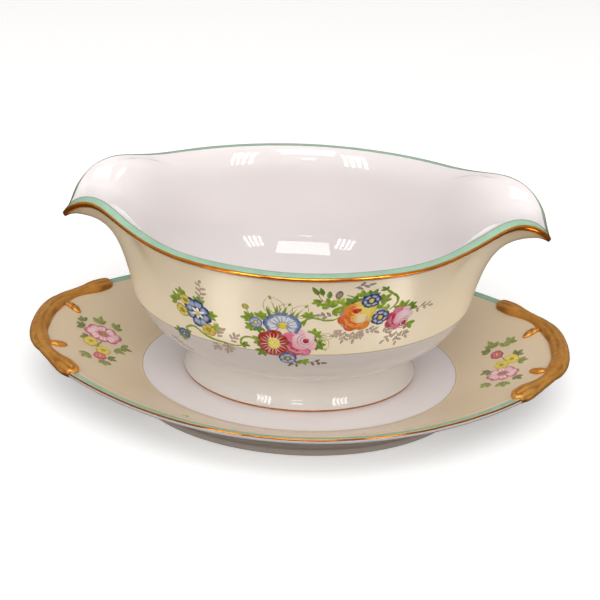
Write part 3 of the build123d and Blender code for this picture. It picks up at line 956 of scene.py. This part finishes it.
def left_spray(p):
    """Blue and yellow flowers on the left of the front."""
    p.line([(-45.5, 3), (-40.5, 5.5), (-37.5, 3.6), (-34.5, 2), (-28, 1.2), (-22, 1.2), (-18.6, 3.2)],
           1.35, LEAF)
    p.line([(-38, 4.4), (-34.5, 2.6), (-28, 1.7)], 0.5, LEAF_LIGHT, 1)
    p.line([(-21, 2), (-20.6, 5), (-18.4, 6.8), (-15.4, 6.4), (-13.6, 5)], 1.2, LEAF, 0, 0.8)
    p.clump((-20.4, 2.6), -10, 3.2, LEAF_DARK, 3, 1)
    p.sprig((-34.6, 20.4), 76, 9.6, MAUVE, 7, -0.06)
    for at, turn, size in (((-44.6, 17), 122, 4.6), ((-46.2, 15.4), 160, 3.6), ((-41.6, 20.6), 100, 4.2),
                           ((-35.4, 19), 70, 4.2)):
        p.clump(at, turn, size, LEAF)
    p.clump((-32.4, 14), -20, 4.2, LEAF, 4)
    p.clump((-31.4, 8.6), -30, 4.4, LEAF_LIGHT, 4)
    p.flower((-41, 18.5), 2.7, 2.8, (YELLOW, lin(232, 222, 120), OCHRE, OLIVE), eye_r=0.36)
    p.flower((-44.3, 12.4), 3.0, 3.2, (YELLOW, lin(228, 214, 110), OCHRE, OLIVE), eye_r=0.36, start=30)
    p.flower((-34, 6.2), 3.3, 3.3, (YELLOW, GOLDEN, OCHRE, OLIVE), eye_r=0.32, start=12)
    p.flower((-37, 13.5), 5.6, 7.9, BLUE_FLOWER, 8, 0.2, 22, ink=0.42)
    for k in range(6):
        p.petal((-37, 13.5), heading(*around(60 * k + 15, 1, 1.3)), 3.2 if k % 3 else 3.6, 1.7,
                PAPER, PAPER, None, 3.4, 0.9, 0.8, size=(7, 5))
    p.disc((-37, 13.5), 1.0, 1.3, YELLOW, lin(210, 160, 40), 6)
    p.clump((-48.4, -0.2), 175, 3.8, LEAF_DARK)
    p.clump((-48.4, -2.6), 255, 3.8, LEAF)
    p.clump((-45.4, 0.8), 20, 3.2, LEAF_DARK)
    p.flower((-47, -0.7), 2.8, 3.0, (BLUE, BLUE_DARK, lin(16, 34, 78), BLUE_PALE), eye_r=0.2, start=8)
    for at, turn, size in (((-30.6, 3.2), 58, 5.2), ((-31.5, 0.4), 250, 4.4), ((-27.6, 0.4), 268, 4.4),
                           ((-28, 1.4), 300, 3.8), ((-25, 2.4), 52, 4.6)):
        p.sprig(at, turn, size, MAUVE, 5)
    p.sprig((-57.6, -6.6), -34, 10.4, MAUVE, 8, -0.08)


def centre_spray(p):
    """Daisy, red flower and pink rose in the middle of the front."""
    p.clump((-15.6, 16.6), 150, 4.2, LEAF, 4)
    p.clump((-12.4, 17.6), 60, 3.8, LEAF, 4)
    p.clump((-15.4, 13), 205, 4.0, LEAF)
    p.clump((-13.4, 12.8), 275, 3.6, LEAF_DARK)
    p.line([(-14.8, 16.8), (-16.2, 19.4), (-16.8, 22)], 0.4, LEAF_DARK)
    p.disc((-16.9, 22.2), 1.3, 1.5, LEAF_LIGHT, OCHRE, 1)
    p.flower((-14, 15), 2.5, 2.8, BLUE_FLOWER, start=18)
    p.outline_leaf((-6, 19.5), (-8.4, 29), 0.36, INK, LEAF)
    p.outline_leaf((-5, 19.5), (-1.6, 26), 0.34, INK, LEAF)
    p.outline_leaf((-0.8, 18.5), (4, 25.6), 0.32, INK, LEAF)
    for at, turn, size in (((-8.4, 18.4), 104, 5.4), ((-6.6, 18.6), 84, 6.2), ((-4.6, 18.8), 72, 5.8),
                           ((-2.4, 18.4), 58, 4.6), ((-0.6, 17.6), 66, 5.0), ((1.2, 15.4), 48, 4.0),
                           ((-9.6, 17.4), 120, 4.0)):
        p.petal(at, turn, size, 1.5, LEAF_DARK, LEAF, None, 0, 0.7, 0.9, size=(9, 7))
    p.line([(3, 15), (4.4, 18.8), (6.8, 19.2), (10, 18.2), (13.8, 18.6), (16.4, 20.4)], 1.35, LEAF)
    p.line([(6.4, 19.4), (10, 18.5), (13.6, 18.8)], 0.45, LEAF_LIGHT, 1)
    p.clump((4.6, 19.6), 100, 3.6, LEAF, 4)
    p.clump((6.6, 10.4), 62, 4.6, LEAF, 4)
    p.clump((8.4, 5.8), -20, 4.4, LEAF_DARK, 4)
    p.line([(5.4, 12.6), (7.4, 9), (8.6, 3.4)], 1.7, LEAF_DARK)
    p.outline_leaf((9, 9), (12.2, 2.6), 0.36, INK, LEAF_LIGHT)
    p.outline_leaf((8.8, 9.4), (14.6, 10.2), 0.3, INK, LEAF)
    p.clump((-12.6, 5.6), 176, 4.4, LEAF, 4)
    p.clump((-12, 0.6), 228, 4.2, LEAF_DARK)
    daisy = np.array((-4.4, 14.6))
    for a, length in ((168, 5.6), (134, 5.4), (92, 5.8), (52, 5.6), (14, 5.4), (-20, 5.0), (200, 5.0)):
        p.petal(daisy + around(a, 1, 0.6), a, length, 4.6, PAPER, BLUE_PALE, BLUE, 1 + 0.3 * (a % 4),
                1.6, 0.5, BLUE_DARK, 3, size=(15, 25))
        p.petal(daisy + around(a, 1, 0.9) * (length - 0.4), a, 1.9, 4.6, BLUE, BLUE_DARK, None, 3, 1.0, 0.4,
                size=(7, 9))
    p.disc((-4.4, 14.8), 2.0, 1.6, YELLOW, lin(214, 172, 40), 5)
    p.rose((1.6, 6.2), 6.9, 7.4, PINK, PINK_MID, PINK_DEEP, CRIMSON, (4.2, 7.8), 222, 2)
    for k in range(6):
        turn = 60 * k + 24
        way = around(turn, 1, 1.2)
        p.petal(way + (-8, 5.4), heading(*around(turn, 1, 1.22)), 5.0 + 0.75 * abs(way[1]), 6.0, RED, RED,
                RED_DARK, 6 + 0.4 * (k % 2), 1.5, 0.5, PAPER, 4, size=(15, 27), ink=0.16)
    p.disc((-7.8, 5.6), 2.8, 3.4, lin(244, 226, 120), YELLOW, 8)
    for k in range(16):
        spot = around(math.degrees(2.4 * k), 2.6, 3.2) * 0.25 * math.sqrt(k + 0.4) + (-7.8, 5.6)
        p.disc(spot, 0.3, 0.32, PAPER if k % 3 else lin(206, 160, 30), YELLOW, 9)
    p.clump((3.6, -4), -70, 3.8, LEAF, 5)
    p.sprig((2.2, -5), -150, 4.4, lin(110, 84, 72), 4)
    p.sprig((6.2, -5), -10, 5.0, lin(110, 84, 72), 4)
    p.flower((-2.6, -2.6), 3.7, 3.7, (BLUE_PALE, BLUE, BLUE_DARK, GOLDEN), eye_r=0.28, start=20, layer=5,
             ink=0.36, fat=1.4, breadth=1.05)


def right_spray(p):
    """Orange and pink roses with a fan of leaves on the right of the front."""
    for at, turn, size in (((7.2, 30.6), 116, 5.0), ((8.6, 30.4), 104, 4.4), ((10.6, 29), 92, 4.0),
                           ((8.6, 27.6), 186, 3.0)):
        p.leaf(at, turn, size, 1.9, LEAF_DARK)
    p.line([(6.6, 33.6), (7.6, 29.6), (9.4, 27.2), (12, 26)], 0.4, INK)
    leaves = (((8, 27.4), 200, 3.4, LEAF, 3), ((11, 25), 110, 4.4, LEAF, 5),
              ((12.4, 22.8), -10, 3.8, LEAF, 3), ((14, 26.6), 84, 3.8, LEAF_LIGHT, 4),
              ((17.4, 23.8), 150, 4.6, LEAF, 4),
              ((19, 26.2), 110, 4.8, LEAF_DARK, 4), ((21.6, 29.4), 100, 4.0, LEAF, 3),
              ((24.4, 29.6), 70, 3.8, LEAF_DARK, 3), ((28.4, 26.8), 50, 4.4, LEAF, 5),
              ((27.4, 23.2), 40, 3.2, LEAF, 3), ((31.6, 22), 170, 3.6, LEAF_LIGHT, 4),
              ((37, 21.4), 80, 4.6, LEAF, 4), ((40, 21), 10, 4.4, LEAF_DARK, 4),
              ((42.8, 13), -58, 4.4, LEAF, 3))
    for leaf in leaves:
        p.clump(*leaf)
    p.line([(16, 30.4), (18, 29.6), (19.2, 27)], 0.6, LEAF_DARK)
    p.line([(28.4, 32.8), (30.6, 30.6), (34, 27.2), (34.2, 24.2), (32.4, 21.6)], 1.3, LEAF)
    p.clump((28.8, 32), 130, 2.6, LEAF_DARK)
    p.petal((13.4, 28.6), 84, 4.4, 2.6, MAUVE, lin(136, 112, 108), lin(110, 86, 84), 1, 1.0, 0.6)
    for at, turn, size in (((12.6, 20.4), 172, 4.0), ((14.6, 20.6), 30, 3.6), ((18, 34), 12, 5.0)):
        p.sprig(at, turn, size, lin(150, 132, 128), 4)
    for at, turn, size in (((43.4, 19.2), -4, 7.0), ((15.8, 16.6), -22, 4.0), ((18.2, 12.4), -96, 4.6),
                           ((17, 13.2), -140, 3.6), ((21, 12), -80, 4.2), ((25.6, 12.6), -20, 4.4),
                           ((25, 12.4), -120, 3.2), ((33.2, 13), -50, 3.8), ((36.8, 10.4), -118, 5.6),
                           ((38.6, 9.6), -80, 6.0), ((40.8, 9), -48, 4.0)):
        p.sprig(at, turn, size, MAUVE, 5)
    p.rose((21.6, 19.8), 7.1, 7.9, lin(240, 220, 100), ORANGE, ORANGE_DEEP, SCARLET, (20.4, 22.6), 222, 1)
    p.disc((22.6, 18.6), 3.0, 3.0, PEACH, lin(240, 190, 110), 4.5)
    p.petal((18.6, 22.8), 0, 3.8, 2.4, SCARLET, SCARLET, None, 5, 1.0, 0.5)
    p.flower((24.6, 27.3), 3.5, 3.8, WHITE_FLOWER, 6, start=15, layer=4, ink=0.5, fat=1.4)
    p.flower((29.8, 18.4), 3.3, 4.1, WHITE_FLOWER, 6, start=40, layer=4, ink=0.5, fat=1.4)
    p.rose((37.6, 16.6), 5.4, 6.2, PINK, PINK_MID, PINK_DEEP, CRIMSON, (40.4, 13.8), 190, 1)


def stand_spray(p, leaves, stem, yellows, small, large):
    """Leaves, a stem, two yellow flowers, a small pink one and a large pale one with a dotted eye."""
    for at, turn, size in leaves:
        p.clump(at, turn, size, STAND_LEAF if size > 4.5 else STAND_LEAF_DARK)
    p.line(stem, 0.6, STAND_LEAF_DARK)
    for at, ry, start in yellows:
        p.flower(at, 3.2, ry, STAND_YELLOWS, start=start, ink=0.16)
    at, colours = small
    p.flower(at, 2.8, 3.0, colours, eye_r=0.24)
    at, rx, start = large
    p.flower(at, rx, 5.6, STAND_PINKS, 8, 0.2, start, streak=STAND_PINK_EDGE, dots=lin(200, 90, 110),
             streaks=2, fat=1.6)


def plate_left(p):
    """Pink and yellow spray on the left of the stand."""
    leaves = (((-97.2, 5), 160, 4.4), ((-91.6, 11), 96, 4.8), ((-84.6, 11), 66, 4.6),
              ((-93.8, -1.6), 200, 4.4), ((-81.4, -3), -20, 4.6), ((-91, -15), 236, 5.0),
              ((-84, -16.6), -74, 4.6), ((-79.6, 0.2), 0, 4.6), ((-98, 9), 130, 3.6), ((-83, -12), -10, 4.0))
    stand_spray(p, leaves, [(-88, -1), (-89, -6), (-88, -11), (-86.4, -14)],
                (((-92.3, -4), 3.6, 0), ((-86.2, -7.8), 3.4, 25)),
                ((-86.4, -13.4), (PINK_MID, PINK_DEEP, CRIMSON, YELLOW)), ((-88.6, 4.4), 8.4, 10))


def plate_right(p):
    """Its partner on the right."""
    leaves = (((86.4, 12), 104, 5.0), ((91, 11), 70, 4.6), ((93.4, 13), 50, 4.6), ((84.6, 9.6), 150, 4.2),
              ((95, 3), 40, 4.4), ((96, -2), -14, 4.8), ((83.6, -5), 200, 4.4), ((88, -18), 262, 5.4),
              ((82.4, -16), 214, 4.8), ((93.4, -15), -56, 4.4))
    stand_spray(p, leaves, [(89, -8), (91, -2), (89.4, 4), (88, 9)],
                (((93.4, 0.4), 3.6, 0), ((88.8, -2.4), 3.4, 30)),
                ((87.6, 6.2), (PINK_MID, CRIMSON, lin(130, 16, 40), YELLOW)), ((88.7, -10), 7.0, 0))


def paint_all():
    sprays = (("left", left_spray), ("centre", centre_spray), ("right", right_spray))
    for turned, side in ((False, "front"), (True, "back")):
        for k, (name, spray) in enumerate(sprays):
            p = Enamel(on_boat, 11 + k)
            spray(p)
            p.finish(f"enamel_{side}_{name}", "boat", turned)
    for k, (name, spray) in enumerate((("left", plate_left), ("right", plate_right))):
        p = Enamel(on_plate, 31 + k)
        spray(p)
        p.finish(f"enamel_plate_{name}", "underplate")
    p = Enamel(on_plate, 41)
    for x, y, turn in ((-42.1, -55.9, 200), (28.5, -63, -20), (42.1, 55.9, 20), (-28.5, 63, 160)):
        p.leaf((x, y), turn, 2.6, 1.2, LEAF, vein=False)
        p.leaf((x, y), turn + 70, 1.8, 1.0, LEAF_DARK, vein=False)
    p.finish("enamel_plate_scraps", "underplate")


# ---- Build ----------------------------------------------------------------------------------------

def dress(obj, material, body, nodes):
    obj.data.materials.append(material)
    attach(obj, body)
    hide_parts(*nodes)


BOAT, FOOT, PLATE, GOLD = boat_glaze(), foot_glaze(), plate_glaze(), handle_gold()
dress(boat_bowl(), BOAT, "boat", ["boat_bowl"])
dress(boat_foot(), FOOT, "boat", ["boat_foot"])
dress(underplate(), PLATE, "underplate", ["underplate"])
dress(handle("handle_left_gilt", -1), GOLD, "underplate", ["underplate_handle_left"])
dress(handle("handle_right_gilt", 1), GOLD, "underplate", ["underplate_handle_right"])
paint_all()


# ---- Set: floor, lights and camera ----------------------------------------------------------------

LOOK_AT = Vector((0.002, -0.004, 0.046))          # what the lights point at
CAMERA_AIM = Vector((-0.0005, -0.0044, 0.0454))
CAMERA_FAR = 0.5246                               # metres from what it aims at
CAMERA_ROUND, CAMERA_UP, CAMERA_ROLL = 2.223, 30.0, 2.058      # degrees


def floor():
    sh = Shader("paper_sweep")
    grain = sh.noise(900, 3, 0.6)
    tone = sh.mix(grain, (0.90, 0.895, 0.885), (0.93, 0.927, 0.92))
    material = sh.set(Base_Color=tone, Roughness=0.9, Normal=sh.bump(grain, 0.08, 0.00005),
                      Emission_Color=tone, Emission_Strength=0.26)
    size = 6000
    obj = object_from("floor", [(-size, -size, 0), (size, -size, 0), (size, size, 0), (-size, size, 0)],
                      [(0, 1, 2, 3)], smooth=False)
    obj.data.materials.append(material)
    obj.visible_diffuse = obj.visible_glossy = obj.visible_shadow = False


def area(name, way, width, height, power, distance=1.6, spread=180, tint=(1, 1, 1)):
    """Rectangular light seen from the object in direction `way`; sizes in degrees, power as radiance."""
    way = Vector(way).normalized()
    light = bpy.data.lights.new(name, "AREA")
    light.shape = "RECTANGLE"
    light.size = 2 * distance * math.tan(math.radians(width / 2))
    light.size_y = 2 * distance * math.tan(math.radians(height / 2))
    light.energy = power * math.pi * light.size * light.size_y
    light.color = tint
    light.spread = math.radians(spread)
    obj = bpy.data.objects.new(name, light)
    obj.location = LOOK_AT + way * distance
    obj.rotation_euler = way.to_track_quat("Z", "Y").to_euler()
    bpy.context.scene.collection.objects.link(obj)
    return obj


def slatted(name, way, width, height, power, slats=4):
    """Window light seen through slats: bright upright strips side by side."""
    centre = Vector(way).normalized()
    side = Vector((0, 0, 1)).cross(centre).normalized()
    for k in range(slats):
        off = math.tan(math.radians(width * ((k + 0.5) / slats - 0.5)))
        area(f"{name}_{k}", centre + side * off, width / slats * 0.62, height, power)


def lights():
    world = bpy.data.worlds.new("studio")
    world.use_nodes = True
    bpy.context.scene.world = world
    tree = world.node_tree
    back = next(n for n in tree.nodes if n.type == "BACKGROUND")
    back.inputs["Strength"].default_value = 0.41
    # Pale above, and below the horizon the brown of a table, which the undersides reflect.
    across, ramp = tree.nodes.new("ShaderNodeSeparateXYZ"), tree.nodes.new("ShaderNodeValToRGB")
    place = tree.nodes.new("ShaderNodeMapRange")
    place.inputs["From Min"].default_value, place.inputs["From Max"].default_value = -1, 1
    tree.links.new(tree.nodes.new("ShaderNodeTexCoord").outputs["Generated"], across.inputs[0])
    tree.links.new(across.outputs["Z"], place.inputs["Value"])
    tree.links.new(place.outputs[0], ramp.inputs[0])
    tree.links.new(ramp.outputs[0], back.inputs["Color"])
    low, high = ramp.color_ramp.elements
    low.position, low.color = 0.42, (0.15, 0.105, 0.06, 1)
    high.position, high.color = 0.52, (1.0, 0.99, 0.975, 1)
    # Windows and lamp that show as highlights in the glaze; the fills below give most of the light.
    slatted("window_right", (0.474, -0.804, 0.358), 11.3, 34, 9.0)
    slatted("window_left", (-0.386, -0.871, 0.304), 10.5, 40, 9.0)
    area("window_middle", (0.0, -0.74, 0.672), 25, 22, 6.5)
    area("small_bar", (-0.013, -0.937, 0.35), 7, 4, 7.0)
    for light in bpy.data.objects:
        if light.name.startswith("window"):
            light.visible_diffuse = False
    for name, way, width, height, power in (("high_fill", (0.05, -0.55, 0.84), 50, 40, 2.65),
                                            ("low_fill", (-0.08, -0.9, 0.42), 60, 26, 1.25),
                                            ("left_fill", (-0.9, -0.5, 0.3), 46, 34, 1.45),
                                            ("right_fill", (0.9, -0.5, 0.3), 46, 34, 1.55)):
        area(name, way, width, height, power).visible_glossy = False
    area("overhead", (0.05, 0.15, 1), 48, 48, 0.35)
    # Bright patches of the table top, seen softly in the eggshell ground of the bowl.
    bowl_only = bpy.data.collections.new("lit_by_table")
    bowl_only.objects.link(bpy.data.objects["boat_bowl_glazed"])
    for name, way in (("table_left", (-0.46, -0.46, -0.755)), ("table_right", (0.56, -0.3, -0.77))):
        patch = area(name, way, 12, 22, 4.2, tint=(1, 0.94, 0.82))
        patch.visible_diffuse = False
        patch.light_linking.receiver_collection = bowl_only


def camera():
    data = bpy.data.cameras.new("camera")
    data.lens, data.sensor_width = 73.52, 36
    data.clip_start, data.clip_end = 0.02, 50
    obj = bpy.data.objects.new("camera", data)
    turn = (Matrix.Rotation(math.radians(CAMERA_ROUND), 4, "Z")
            @ Matrix.Rotation(math.radians(90 - CAMERA_UP), 4, "X")
            @ Matrix.Rotation(math.radians(CAMERA_ROLL), 4, "Z"))
    obj.matrix_world = Matrix.Translation(CAMERA_AIM + turn @ Vector((0, 0, CAMERA_FAR))) @ turn
    bpy.context.scene.collection.objects.link(obj)
    bpy.context.scene.camera = obj


floor()
lights()
camera()
bpy.context.scene.view_settings.view_transform = "Standard"
